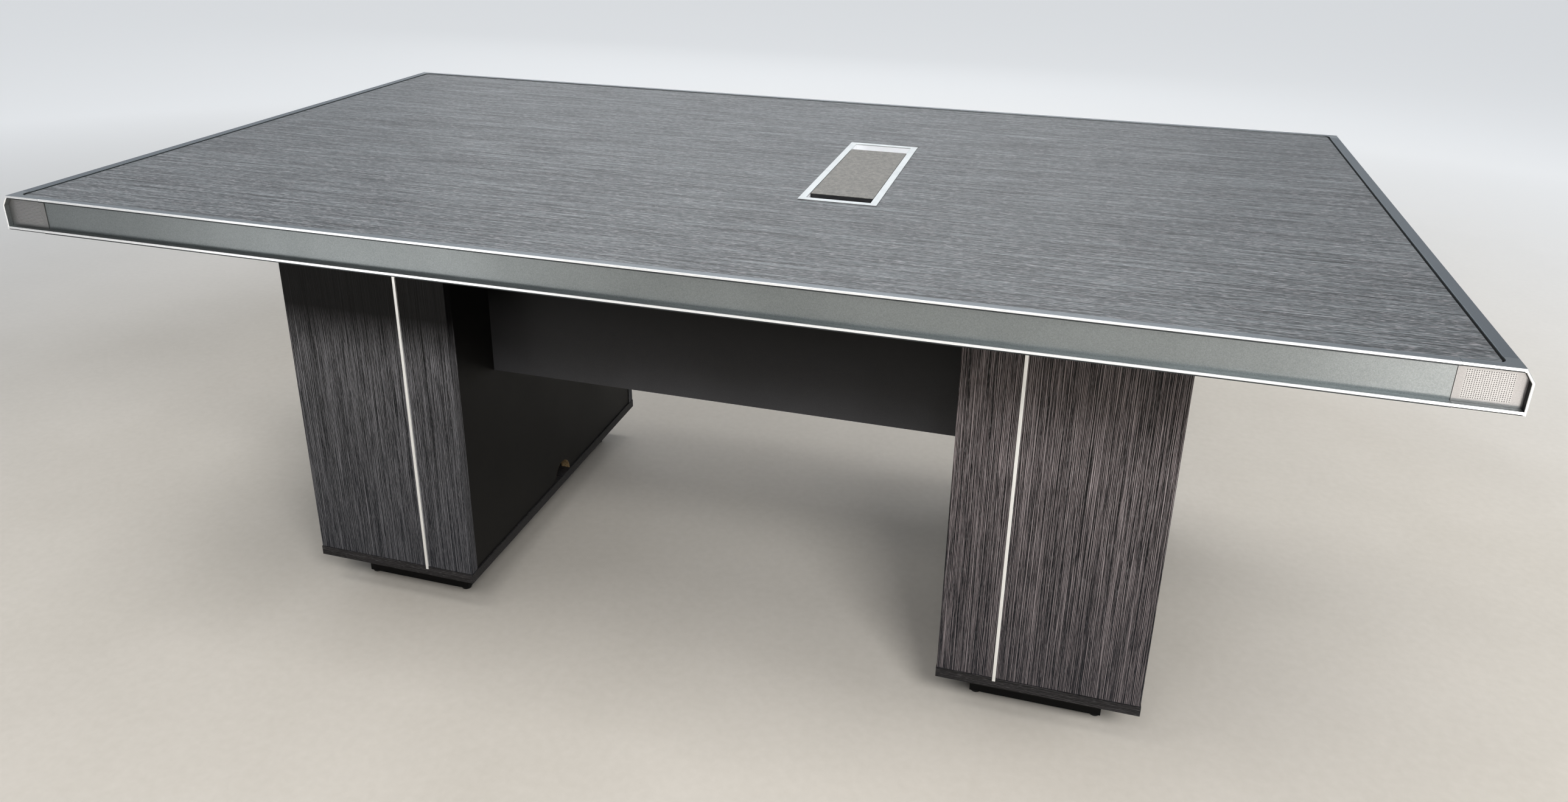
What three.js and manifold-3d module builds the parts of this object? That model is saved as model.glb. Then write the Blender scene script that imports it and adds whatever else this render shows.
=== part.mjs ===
// Conference table: a laminate top in an aluminium edge frame, carried by two slab
// box legs and a hollow cable beam, with a flip-up power box let into the top.
// Millimetres, +Z up. Origin on the floor under the middle of the top, +X along the
// length, the front long side faces -Y.

import * as THREE from 'three';
import { mergeVertices } from 'three/addons/utils/BufferGeometryUtils.js';
import Module from 'manifold-3d';

// Overall size
const TABLE_LENGTH = 2000;
const TABLE_WIDTH = 1100;
const TABLE_HEIGHT = 760;

// Fits
const SEAT_GAP = 0.2; // between two pieces that bear on each other
const CUT_PAST = 2; // how far a cutting solid runs past the piece it cuts

// Top panel
const PANEL_THICKNESS = 25;
const PANEL_DROP = 1.2; // panel face below the top of the edge frame
const PANEL_CORNER = 9; // radius of the panel's corners
const GASKET_WIDTH = 2.6;
const GASKET_DROP = 1.8; // gasket face below the top of the edge frame

// Edge frame
const EDGE_HEIGHT = 53;
const EDGE_DEPTH = 11.5; // channel on the long sides, lip face to panel edge
const EDGE_WEB = 2.2;
const LIP_HEIGHT = 4.8;
const END_DEPTH = 25; // profile on the short ends
const END_WALL = 3;
const END_CHAMFER_WIDTH = 10;
const END_CHAMFER_HEIGHT = 15;
const END_HOOK = 12; // reach of the end profile's bottom flange under the end batten
const CORNER_LENGTH = 70; // corner casting along the long side
const CORNER_DEPTH = 28; // corner casting along the short end
const GRILLE_THICKNESS = 0.8;

// Sub-frame under the panel
const BATTEN_WIDTH = 60;
const LEG_BATTEN_INSET = 30; // batten over a leg, inside the leg's faces

// Legs
const END_OVERHANG = 300; // top past the outer side of each leg
const SIDE_OVERHANG = 200; // top past the front and back of each leg
const LEG_WIDTH = 300;
const BOARD = 18;
const SIDE_SETBACK = 1.5; // side panels behind the edges of the front and back panels
const BASE_THICKNESS = 17;
const BASE_PROUD = 1;
const PLINTH_HEIGHT = 62;
const PLINTH_INSET_SIDE = 49;
const PLINTH_INSET_FRONT = 58;
const GLIDE_HEIGHT = 3;
const GLIDE_RADIUS = 8.5;
const STRIP_OFFSET = 87; // inlay strip's centre line from the leg's inner edge
const STRIP_WIDTH = 5;
const STRIP_DEPTH = 5; // into the panel
const STRIP_PROUD = 2.4;
const STRIP_LAP = 4.5; // over the front of the base board
const NOTCH_RADIUS = 30; // cable exit at the foot of each inner side panel
const CABLE_HOLE_WIDTH = 120; // from the beam into each leg
const CABLE_HOLE_HEIGHT = 80;
const CABLE_HOLE_CORNER = 20;
const CABLE_HOLE_RISE = 60; // above the beam floor

// Cable beam
const BEAM_HEIGHT = 320;
const BEAM_CLEARANCE = 13; // each end of the power box frame to the beam panels
const BEAM_FLOOR_RISE = 4; // beam floor above the beam panels' bottom edges

// Power box
const POWER_X = 182.5; // centre, off the middle of the table
const POWER_LENGTH = 382;
const POWER_WIDTH = 121;
const POWER_FLANGE = 10.7;
const POWER_WALL = 2;
const POWER_SKIRT = 30; // depth of the frame below the top
const POWER_DEPTH = 75; // depth of the tray below the top
const CUTOUT_GAP = 0.5;
const LEDGE_WIDTH = 5; // stop under the free edge of the lid
const LEDGE_THICKNESS = 2;
const LEDGE_LENGTH = 180;
const TRAY_GAP = 0.3;
const TRAY_WALL = 1.5;
const TRAY_RIM_DROP = 16;
const TRAY_HOLE_WIDTH = 60;
const TRAY_HOLE_LENGTH = 44;
const TRAY_HOLE_MARGIN = 12;

// Lid and its hinge
const LID_THICKNESS = 10;
const LID_SIDE_GAP = 1.1;
const LID_FRONT_GAP = 25;
const LID_REAR_GAP = 40;
const LID_DROP = 0.3;
const PIVOT_INSET = 16; // hinge axis from the lid's hinge edge
const PIN_RADIUS = 1.5;
const PIN_GAP = 0.3;
const PIN_GRIP = 8; // pin length inside the lid, each side of a hinge slot
const KNUCKLE_RADIUS = 3.2;
const KNUCKLE_WIDTH = 8;
const KNUCKLE_SIDE_GAP = 0.6;
const KNUCKLE_TOP_GAP = 0.4;
const HINGE_END = 40; // knuckle centre from each end of the lid
const ARM_HEIGHT = 6;
const ARM_GAP = 0.8; // under the swing of the lid's hinge edge

// Socket block in the tray
const BLOCK_WIDTH = 60;
const BLOCK_LENGTH = 190;
const BLOCK_HEIGHT = 32;
const BLOCK_SHIFT = 8; // away from the hinge
const SOCKET_RADIUS = 21.5;
const SOCKET_GAP = 0.3;
const SOCKET_HEIGHT = 14;
const SOCKET_RIM = 3;
const SOCKET_RECESS = 9;
const SOCKET_PIN_RADIUS = 2.5;
const SOCKET_PIN_SPACING = 19;
const SOCKET_PITCH = 56;
const DATA_SIDE = 44;
const DATA_HEIGHT = 8;
const PORT_WIDTH = 16;
const PORT_HEIGHT = 13;
const PORT_DEPTH = 5;
const PORT_PITCH = 20;

// Facets of round stretches
const ROUND_SEGMENTS = 24;
const CORNER_SEGMENTS = 6;

// Heights
const edgeBottom = TABLE_HEIGHT - EDGE_HEIGHT;
const panelTop = TABLE_HEIGHT - PANEL_DROP;
const panelBottom = panelTop - PANEL_THICKNESS;
const battenTop = panelBottom - SEAT_GAP;
const battenBottom = edgeBottom + END_WALL + SEAT_GAP;
const legTop = battenBottom - SEAT_GAP;
const baseBottom = GLIDE_HEIGHT + SEAT_GAP + PLINTH_HEIGHT + SEAT_GAP;
const baseTop = baseBottom + BASE_THICKNESS;
const panelFoot = baseTop + SEAT_GAP;
const beamBottom = panelBottom - BEAM_HEIGHT;

// Places across the top, as half sizes from the middle
const halfLength = TABLE_LENGTH / 2;
const halfWidth = TABLE_WIDTH / 2;
const endInner = halfLength - END_DEPTH;
const channelBack = halfWidth - EDGE_DEPTH;
const gasketOuter = endInner - SEAT_GAP;
const gasketInner = gasketOuter - GASKET_WIDTH;
const panelHalfLength = gasketInner - SEAT_GAP;
const panelHalfWidth = channelBack - SEAT_GAP;
const battenInner = panelHalfWidth - BATTEN_WIDTH;

// Places across a leg
const legOuter = halfLength - END_OVERHANG;
const legInner = legOuter - LEG_WIDTH;
const legFront = halfWidth - SIDE_OVERHANG;
const boardBack = legFront - BOARD;
const sideReach = boardBack - SEAT_GAP;
const innerFace = legInner + SIDE_SETBACK;
const outerFace = legOuter - SIDE_SETBACK;
const baseFront = legFront + BASE_PROUD;

// Places in the power box
const openingHalfWidth = POWER_WIDTH / 2 - POWER_FLANGE;
const openingHalfLength = POWER_LENGTH / 2 - POWER_FLANGE;
const trayFloor = TABLE_HEIGHT - POWER_DEPTH + POWER_WALL;
const lidTop = TABLE_HEIGHT - LID_DROP;
const lidBottom = lidTop - LID_THICKNESS;
const lidHinge = POWER_X - openingHalfWidth + LID_SIDE_GAP;
const lidFree = POWER_X + openingHalfWidth - LID_SIDE_GAP;
const lidFront = -openingHalfLength + LID_FRONT_GAP;
const lidRear = openingHalfLength - LID_REAR_GAP;
const pivotX = lidHinge + PIVOT_INSET;
const pivotZ = lidTop - LID_THICKNESS / 2;
const knucklePlaces = [lidFront + HINGE_END, lidRear - HINGE_END];
const pinBore = PIN_RADIUS + PIN_GAP;
const beamHalfWidth = POWER_LENGTH / 2 + BEAM_CLEARANCE + BOARD;
const beamEnd = innerFace - SEAT_GAP;
const floorTop = beamBottom + BEAM_FLOOR_RISE + BOARD;

// Finishes
const FINISHES = {
  woodTop: { color: 0x5d5b5e, roughness: 0.42, metalness: 0 },
  woodLeg: { color: 0x3a3839, roughness: 0.5, metalness: 0 },
  boardDark: { color: 0x211f1f, roughness: 0.7, metalness: 0 },
  boardRaw: { color: 0x9a7f5d, roughness: 0.85, metalness: 0 },
  plinthBlack: { color: 0x0d0d0e, roughness: 0.8, metalness: 0 },
  satinAluminium: { color: 0x8b908e, roughness: 0.38, metalness: 0.9 },
  brightAluminium: { color: 0xdfe3e4, roughness: 0.22, metalness: 0.9 },
  grille: { color: 0xa39d95, roughness: 0.4, metalness: 0.85 },
  gasket: { color: 0x08080a, roughness: 0.6, metalness: 0 },
  lid: { color: 0x8f8d87, roughness: 0.55, metalness: 0.2 },
  steel: { color: 0x9aa0a6, roughness: 0.3, metalness: 1 },
  blackPlastic: { color: 0x141416, roughness: 0.5, metalness: 0 },
  whitePlastic: { color: 0xd9d9d6, roughness: 0.45, metalness: 0 },
};

const wasm = await Module();
wasm.setup();

// A box from its ranges along X, Y and Z
function block([x0, x1], [y0, y1], [z0, z1]) {
  const geometry = new THREE.BoxGeometry(1, 1, 1);
  const corner = geometry.attributes.position;
  for (let i = 0; i < corner.count; i += 1) {
    const x = corner.getX(i) < 0 ? x0 : x1;
    const y = corner.getY(i) < 0 ? y0 : y1;
    const z = corner.getZ(i) < 0 ? z0 : z1;
    corner.setXYZ(i, x, y, z);
  }
  return geometry;
}

function polygon(points) {
  return new THREE.Shape(points.map(([a, b]) => new THREE.Vector2(a, b)));
}

// An outline swept along an axis: outlines are (x, y) along z, (x, z) along y, (y, z) along x
function prism(outline, axis, from, to) {
  const shape = Array.isArray(outline) ? polygon(outline) : outline;
  const options = { depth: to - from, bevelEnabled: false, curveSegments: CORNER_SEGMENTS };
  const geometry = new THREE.ExtrudeGeometry(shape, options);
  const right = new THREE.Vector3(1, 0, 0);
  const back = new THREE.Vector3(0, 1, 0);
  const up = new THREE.Vector3(0, 0, 1);
  if (axis === 'x') {
    geometry.applyMatrix4(new THREE.Matrix4().makeBasis(back, up, right));
    geometry.translate(from, 0, 0);
  } else if (axis === 'y') {
    geometry.applyMatrix4(new THREE.Matrix4().makeBasis(right, up, back.negate()));
    geometry.translate(0, to, 0);
  } else {
    geometry.translate(0, 0, from);
  }
  return geometry;
}

// A round bar along Y or Z about its centre
function bar(radius, axis, [x, y, z], length) {
  const geometry = new THREE.CylinderGeometry(radius, radius, length, ROUND_SEGMENTS);
  if (axis === 'z') {
    geometry.rotateX(Math.PI / 2);
  }
  geometry.translate(x, y, z);
  return geometry;
}

// Radius of a faceted hole whose flats still clear the given radius
function boreRadius(radius) {
  return radius / Math.cos(Math.PI / ROUND_SEGMENTS);
}

function solid(geometry) {
  const bare = geometry.clone();
  bare.deleteAttribute('normal');
  bare.deleteAttribute('uv');
  const merged = mergeVertices(bare);
  const vertProperties = new Float32Array(merged.attributes.position.array);
  const triVerts = new Uint32Array(merged.index.array);
  return new wasm.Manifold(new wasm.Mesh({ numProp: 3, vertProperties, triVerts }));
}

function surface(manifold) {
  const mesh = manifold.getMesh();
  const geometry = new THREE.BufferGeometry();
  geometry.setAttribute('position', new THREE.BufferAttribute(new Float32Array(mesh.vertProperties), 3));
  geometry.setIndex(new THREE.BufferAttribute(new Uint32Array(mesh.triVerts), 1));
  geometry.computeVertexNormals();
  return geometry;
}

function cut(geometry, cutters) {
  return surface(cutters.reduce((body, cutter) => body.subtract(solid(cutter)), solid(geometry)));
}

function join(geometries) {
  const [first, ...rest] = geometries.map(solid);
  return surface(rest.reduce((body, piece) => body.add(piece), first));
}

// The same piece on another side of the table, with its faces still pointing out
function mirrored(geometry, sideX, sideY) {
  const copy = geometry.index ? geometry.toNonIndexed() : geometry.clone();
  const point = copy.attributes.position;
  const order = sideX * sideY < 0 ? [0, 2, 1] : [0, 1, 2];
  const corners = [];
  for (let i = 0; i < point.count; i += order.length) {
    for (const k of order) {
      corners.push(point.getX(i + k) * sideX, point.getY(i + k) * sideY, point.getZ(i + k));
    }
  }
  const result = new THREE.BufferGeometry();
  result.setAttribute('position', new THREE.Float32BufferAttribute(corners, 3));
  result.computeVertexNormals();
  return mergeVertices(result);
}

// A rectangle about a centre in the outline's plane, with square or rounded corners
function rectangle(a, b, halfA, halfB) {
  return polygon([
    [a - halfA, b - halfB],
    [a + halfA, b - halfB],
    [a + halfA, b + halfB],
    [a - halfA, b + halfB],
  ]);
}

function roundedRectangle(a, b, halfA, halfB, radius) {
  const outline = new THREE.Shape();
  const quarter = Math.PI / 2;
  const corners = [[1, -1], [1, 1], [-1, 1], [-1, -1]];
  corners.forEach(([sideA, sideB], turn) => {
    const centreA = a + sideA * (halfA - radius);
    const centreB = b + sideB * (halfB - radius);
    outline.absarc(centreA, centreB, radius, (turn - 1) * quarter, turn * quarter, false);
  });
  return outline;
}

const table = new THREE.Group();

function place(name, geometry, finish, group = table) {
  const mesh = new THREE.Mesh(geometry, new THREE.MeshStandardMaterial(FINISHES[finish]));
  mesh.name = name;
  group.add(mesh);
}

const SIDES_X = [['left', -1], ['right', 1]];
const SIDES_Y = [['front', -1], ['back', 1]];

// Corner points of the chamfered end, set in from its outside, between two levels, in (x, z)
function endOutline(inset, low, high) {
  const slope = Math.hypot(END_CHAMFER_WIDTH, END_CHAMFER_HEIGHT);
  const reach = END_CHAMFER_WIDTH * END_CHAMFER_HEIGHT + inset * slope;
  const side = halfLength - inset;
  const atSide = TABLE_HEIGHT - (reach - END_CHAMFER_HEIGHT * inset) / END_CHAMFER_WIDTH;
  const atTop = halfLength - (reach - END_CHAMFER_WIDTH * (TABLE_HEIGHT - high)) / END_CHAMFER_HEIGHT;
  return [[side, low], [side, atSide], [atTop, high]];
}

function topPanel() {
  const outline = roundedRectangle(0, 0, panelHalfLength, panelHalfWidth, PANEL_CORNER);
  const wall = POWER_WALL + CUTOUT_GAP;
  outline.holes.push(rectangle(POWER_X, 0, openingHalfWidth + wall, openingHalfLength + wall));
  return prism(outline, 'z', panelBottom, panelTop);
}

// Channel on a long side, open outwards, in (y, z)
function edgeChannel() {
  const webFace = channelBack + EDGE_WEB;
  const outline = [
    [channelBack, edgeBottom],
    [halfWidth, edgeBottom],
    [halfWidth, edgeBottom + LIP_HEIGHT],
    [webFace, edgeBottom + LIP_HEIGHT],
    [webFace, TABLE_HEIGHT - LIP_HEIGHT],
    [halfWidth, TABLE_HEIGHT - LIP_HEIGHT],
    [halfWidth, TABLE_HEIGHT],
    [channelBack, TABLE_HEIGHT],
  ];
  const reach = halfLength - CORNER_LENGTH - SEAT_GAP;
  return prism(outline, 'x', -reach, reach);
}

// Profile on a short end, open towards the panel, in (x, z)
function endProfile() {
  const outside = endOutline(0, edgeBottom, TABLE_HEIGHT);
  const inside = endOutline(END_WALL, edgeBottom + END_WALL, TABLE_HEIGHT - END_WALL);
  const outline = [
    [endInner - END_HOOK, edgeBottom],
    ...outside,
    [endInner, TABLE_HEIGHT],
    [endInner, TABLE_HEIGHT - END_WALL],
    ...inside.reverse(),
    [endInner - END_HOOK, edgeBottom + END_WALL],
  ];
  const reach = halfWidth - CORNER_DEPTH - SEAT_GAP;
  return prism(outline, 'y', -reach, reach);
}

// The recess that the channel makes in a corner casting, in (x, z)
function cornerRecess(start, clearance) {
  const low = edgeBottom + LIP_HEIGHT + clearance;
  const high = TABLE_HEIGHT - LIP_HEIGHT - clearance;
  return [[start, low], ...endOutline(END_WALL + clearance, low, high), [start, high]];
}

function cornerCasting() {
  const start = halfLength - CORNER_LENGTH;
  const inner = halfWidth - CORNER_DEPTH;
  const outline = [[start, edgeBottom], ...endOutline(0, edgeBottom, TABLE_HEIGHT), [start, TABLE_HEIGHT]];
  const body = prism(outline, 'y', inner, halfWidth);
  const recess = prism(cornerRecess(start - CUT_PAST, 0), 'y', channelBack + EDGE_WEB, halfWidth + CUT_PAST);
  const panelSpace = new THREE.Shape();
  panelSpace.moveTo(start - CUT_PAST, inner - CUT_PAST);
  panelSpace.lineTo(endInner, inner - CUT_PAST);
  panelSpace.lineTo(endInner, channelBack - PANEL_CORNER);
  panelSpace.absarc(endInner - PANEL_CORNER, channelBack - PANEL_CORNER, PANEL_CORNER, 0, Math.PI / 2, false);
  panelSpace.lineTo(start - CUT_PAST, channelBack);
  const underPanel = prism(panelSpace, 'z', edgeBottom - CUT_PAST, TABLE_HEIGHT + CUT_PAST);
  const low = edgeBottom + END_WALL;
  const high = TABLE_HEIGHT - END_WALL;
  const open = endInner - PANEL_CORNER;
  const hollow = [[open, low], ...endOutline(END_WALL, low, high), [open, high]];
  return cut(body, [recess, underPanel, prism(hollow, 'y', inner - CUT_PAST, channelBack)]);
}

function cornerGrille() {
  const back = channelBack + EDGE_WEB + SEAT_GAP;
  const outline = cornerRecess(halfLength - CORNER_LENGTH, SEAT_GAP);
  return prism(outline, 'y', back, back + GRILLE_THICKNESS);
}

// Top, edge frame and sub-frame
place('top_panel', topPanel(), 'woodTop');
const gasketReach = panelHalfWidth - PANEL_CORNER;
const battenLevel = [battenBottom, battenTop];
const crossReach = battenInner - SEAT_GAP;
for (const [nameY, sideY] of SIDES_Y) {
  place(`edge_channel_${nameY}`, mirrored(edgeChannel(), 1, sideY), 'satinAluminium');
  const long = block([-panelHalfLength, panelHalfLength], [battenInner, panelHalfWidth], battenLevel);
  place(`batten_${nameY}`, mirrored(long, 1, sideY), 'boardRaw');
}
for (const [nameX, sideX] of SIDES_X) {
  place(`end_profile_${nameX}`, mirrored(endProfile(), sideX, 1), 'satinAluminium');
  const gasketLevel = [panelBottom, TABLE_HEIGHT - GASKET_DROP];
  const gasket = block([gasketInner, gasketOuter], [-gasketReach, gasketReach], gasketLevel);
  place(`gasket_${nameX}`, mirrored(gasket, sideX, 1), 'gasket');
  const endRange = [panelHalfLength - BATTEN_WIDTH, panelHalfLength];
  const endBatten = block(endRange, [-crossReach, crossReach], battenLevel);
  place(`batten_${nameX}`, mirrored(endBatten, sideX, 1), 'boardRaw');
  const legRange = [legInner + LEG_BATTEN_INSET, legOuter - LEG_BATTEN_INSET];
  const legBatten = block(legRange, [-crossReach, crossReach], battenLevel);
  place(`leg_batten_${nameX}`, mirrored(legBatten, sideX, 1), 'boardRaw');
  for (const [nameY, sideY] of SIDES_Y) {
    place(`corner_casting_${nameY}_${nameX}`, mirrored(cornerCasting(), sideX, sideY), 'satinAluminium');
    place(`corner_grille_${nameY}_${nameX}`, mirrored(cornerGrille(), sideX, sideY), 'grille');
  }
}

// Frame of the power box: a thin flange on the panel, walls through the cut-out, a stop for the lid
function powerFrame() {
  const flange = rectangle(POWER_X, 0, POWER_WIDTH / 2, POWER_LENGTH / 2);
  flange.holes.push(rectangle(POWER_X, 0, openingHalfWidth, openingHalfLength));
  const walls = rectangle(POWER_X, 0, openingHalfWidth + POWER_WALL, openingHalfLength + POWER_WALL);
  walls.holes.push(rectangle(POWER_X, 0, openingHalfWidth, openingHalfLength));
  const wallSide = POWER_X + openingHalfWidth;
  const ledgeTop = lidBottom - SEAT_GAP;
  const middle = (lidFront + lidRear) / 2;
  const ledge = block(
    [wallSide - LEDGE_WIDTH, wallSide + POWER_WALL / 2],
    [middle - LEDGE_LENGTH / 2, middle + LEDGE_LENGTH / 2],
    [ledgeTop - LEDGE_THICKNESS, ledgeTop],
  );
  return join([
    prism(flange, 'z', panelTop + SEAT_GAP, TABLE_HEIGHT),
    prism(walls, 'z', TABLE_HEIGHT - POWER_SKIRT, TABLE_HEIGHT),
    ledge,
  ]);
}

// One hinge knuckle: an arm from the tray wall and a post up to the pin, in (x, z)
function hingeKnuckle(wallFace, y) {
  const swing = Math.hypot(PIVOT_INSET, LID_THICKNESS / 2);
  const armTop = pivotZ - swing - ARM_GAP;
  const outline = new THREE.Shape();
  outline.moveTo(wallFace - TRAY_WALL / 2, armTop - ARM_HEIGHT);
  outline.lineTo(pivotX + KNUCKLE_RADIUS, armTop - ARM_HEIGHT);
  outline.lineTo(pivotX + KNUCKLE_RADIUS, pivotZ);
  outline.absarc(pivotX, pivotZ, KNUCKLE_RADIUS, 0, Math.PI, false);
  outline.lineTo(pivotX - KNUCKLE_RADIUS, armTop);
  outline.lineTo(wallFace - TRAY_WALL / 2, armTop);
  const post = prism(outline, 'y', y - KNUCKLE_WIDTH / 2, y + KNUCKLE_WIDTH / 2);
  return cut(post, [bar(boreRadius(pinBore), 'y', [pivotX, y, pivotZ], KNUCKLE_WIDTH + CUT_PAST)]);
}

function powerTray() {
  const outX = openingHalfWidth - TRAY_GAP;
  const outY = openingHalfLength - TRAY_GAP;
  const inX = outX - TRAY_WALL;
  const inY = outY - TRAY_WALL;
  const rim = TABLE_HEIGHT - TRAY_RIM_DROP;
  const bottom = TABLE_HEIGHT - POWER_DEPTH;
  const shell = block([POWER_X - outX, POWER_X + outX], [-outY, outY], [bottom, rim]);
  const well = block([POWER_X - inX, POWER_X + inX], [-inY, inY], [trayFloor, rim + CUT_PAST]);
  const holeRear = inY - TRAY_HOLE_MARGIN;
  const hole = block(
    [POWER_X - TRAY_HOLE_WIDTH / 2, POWER_X + TRAY_HOLE_WIDTH / 2],
    [holeRear - TRAY_HOLE_LENGTH, holeRear],
    [bottom - CUT_PAST, trayFloor + CUT_PAST],
  );
  const knuckles = knucklePlaces.map((y) => hingeKnuckle(POWER_X - inX, y));
  return join([cut(shell, [well, hole]), ...knuckles]);
}

function powerLid() {
  const plate = block([lidHinge, lidFree], [lidFront, lidRear], [lidBottom, lidTop]);
  const slotHalf = KNUCKLE_WIDTH / 2 + KNUCKLE_SIDE_GAP;
  const slotTop = pivotZ + KNUCKLE_RADIUS + KNUCKLE_TOP_GAP;
  const slotEnd = pivotX + KNUCKLE_RADIUS + KNUCKLE_SIDE_GAP;
  const slotRange = [lidHinge - CUT_PAST, slotEnd];
  const slotLevel = [lidBottom - CUT_PAST, slotTop];
  const boreLength = 2 * (slotHalf + PIN_GRIP + PIN_GAP);
  const cutters = [];
  for (const y of knucklePlaces) {
    cutters.push(block(slotRange, [y - slotHalf, y + slotHalf], slotLevel));
    cutters.push(bar(boreRadius(pinBore), 'y', [pivotX, y, pivotZ], boreLength));
  }
  return cut(plate, cutters);
}

function lidPin(y) {
  const length = 2 * (KNUCKLE_WIDTH / 2 + KNUCKLE_SIDE_GAP + PIN_GRIP);
  return bar(PIN_RADIUS, 'y', [pivotX, y, pivotZ], length);
}

// Socket block: two round sockets and a data plate, let into one bar on the tray floor
const blockX = POWER_X + BLOCK_SHIFT;
const blockBottom = trayFloor + SEAT_GAP;
const blockTop = blockBottom + BLOCK_HEIGHT;
const socketPlaces = [-SOCKET_PITCH, 0];
const dataY = SOCKET_PITCH;

function socketBlock() {
  const body = block(
    [blockX - BLOCK_WIDTH / 2, blockX + BLOCK_WIDTH / 2],
    [-BLOCK_LENGTH / 2, BLOCK_LENGTH / 2],
    [blockBottom, blockTop],
  );
  const seatDepth = SOCKET_HEIGHT + SEAT_GAP;
  const cutters = socketPlaces.map((y) => {
    const height = seatDepth + CUT_PAST;
    const centre = [blockX, y, blockTop - seatDepth + height / 2];
    return bar(boreRadius(SOCKET_RADIUS + SOCKET_GAP), 'z', centre, height);
  });
  const dataHalf = DATA_SIDE / 2 + SOCKET_GAP;
  cutters.push(block(
    [blockX - dataHalf, blockX + dataHalf],
    [dataY - dataHalf, dataY + dataHalf],
    [blockTop - DATA_HEIGHT - SEAT_GAP, blockTop + CUT_PAST],
  ));
  return cut(body, cutters);
}

function socket(y) {
  const inner = SOCKET_RADIUS - SOCKET_RIM;
  const floor = SOCKET_HEIGHT - SOCKET_RECESS;
  const profile = [
    [0, 0],
    [SOCKET_RADIUS, 0],
    [SOCKET_RADIUS, SOCKET_HEIGHT],
    [inner, SOCKET_HEIGHT],
    [inner, floor],
    [0, floor],
  ];
  const cup = new THREE.LatheGeometry(profile.map(([r, h]) => new THREE.Vector2(r, h)), ROUND_SEGMENTS);
  cup.rotateX(Math.PI / 2);
  cup.translate(blockX, y, blockTop - SOCKET_HEIGHT);
  const pinDepth = floor / 2;
  const pins = [-1, 1].map((side) => {
    const centre = [blockX, y + (side * SOCKET_PIN_SPACING) / 2, blockTop - SOCKET_RECESS];
    return bar(SOCKET_PIN_RADIUS, 'z', centre, 2 * pinDepth);
  });
  return cut(cup, pins);
}

function dataPlate() {
  const half = DATA_SIDE / 2;
  const plate = block(
    [blockX - half, blockX + half],
    [dataY - half, dataY + half],
    [blockTop - DATA_HEIGHT, blockTop],
  );
  const ports = [-1, 1].map((side) => {
    const y = dataY + (side * PORT_PITCH) / 2;
    return block(
      [blockX - PORT_HEIGHT / 2, blockX + PORT_HEIGHT / 2],
      [y - PORT_WIDTH / 2, y + PORT_WIDTH / 2],
      [blockTop - PORT_DEPTH, blockTop + CUT_PAST],
    );
  });
  return cut(plate, ports);
}

place('power_frame', powerFrame(), 'brightAluminium');
place('power_tray', powerTray(), 'satinAluminium');
place('power_lid', powerLid(), 'lid');
place('lid_pin_front', lidPin(knucklePlaces[0]), 'steel');
place('lid_pin_rear', lidPin(knucklePlaces[1]), 'steel');
place('socket_block', socketBlock(), 'blackPlastic');
place('mains_socket_front', socket(socketPlaces[0]), 'whitePlastic');
place('mains_socket_middle', socket(socketPlaces[1]), 'whitePlastic');
place('data_plate', dataPlate(), 'whitePlastic');

// Legs, drawn for the right back quarter and mirrored
function facePanel() {
  const grooveHalf = STRIP_WIDTH / 2 + SEAT_GAP;
  const groove = legInner + STRIP_OFFSET;
  const floor = legFront - STRIP_DEPTH - SEAT_GAP;
  const outline = [
    [legInner, boardBack],
    [legOuter, boardBack],
    [legOuter, legFront],
    [groove + grooveHalf, legFront],
    [groove + grooveHalf, floor],
    [groove - grooveHalf, floor],
    [groove - grooveHalf, legFront],
    [legInner, legFront],
  ];
  return prism(outline, 'z', panelFoot, legTop);
}

// Inlay strip with a tongue that laps over the base board, in (y, z)
function inlayStrip() {
  const face = legFront + STRIP_PROUD;
  const tongueBack = baseFront + SEAT_GAP;
  const outline = [
    [legFront - STRIP_DEPTH, panelFoot],
    [tongueBack, panelFoot],
    [tongueBack, baseTop - STRIP_LAP],
    [face, baseTop - STRIP_LAP],
    [face, legTop],
    [legFront - STRIP_DEPTH, legTop],
  ];
  const centre = legInner + STRIP_OFFSET;
  return prism(outline, 'x', centre - STRIP_WIDTH / 2, centre + STRIP_WIDTH / 2);
}

// Inner side panel, with the cable exit at its foot and the cable hole behind the beam, in (y, z)
function innerPanel() {
  const outline = new THREE.Shape();
  outline.moveTo(-sideReach, panelFoot);
  outline.lineTo(-NOTCH_RADIUS, panelFoot);
  outline.absarc(0, panelFoot, NOTCH_RADIUS, Math.PI, 0, true);
  outline.lineTo(sideReach, panelFoot);
  outline.lineTo(sideReach, legTop);
  outline.lineTo(-sideReach, legTop);
  const holeHalf = CABLE_HOLE_HEIGHT / 2;
  const holeZ = floorTop + CABLE_HOLE_RISE + holeHalf;
  outline.holes.push(roundedRectangle(0, holeZ, CABLE_HOLE_WIDTH / 2, holeHalf, CABLE_HOLE_CORNER));
  return prism(outline, 'x', innerFace, innerFace + BOARD);
}

function plinthRing() {
  const middleX = (legInner + legOuter) / 2;
  const halfX = LEG_WIDTH / 2 - PLINTH_INSET_SIDE;
  const halfY = legFront - PLINTH_INSET_FRONT;
  const ring = rectangle(middleX, 0, halfX, halfY);
  ring.holes.push(rectangle(middleX, 0, halfX - BOARD, halfY - BOARD));
  return prism(ring, 'z', GLIDE_HEIGHT + SEAT_GAP, GLIDE_HEIGHT + SEAT_GAP + PLINTH_HEIGHT);
}

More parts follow.
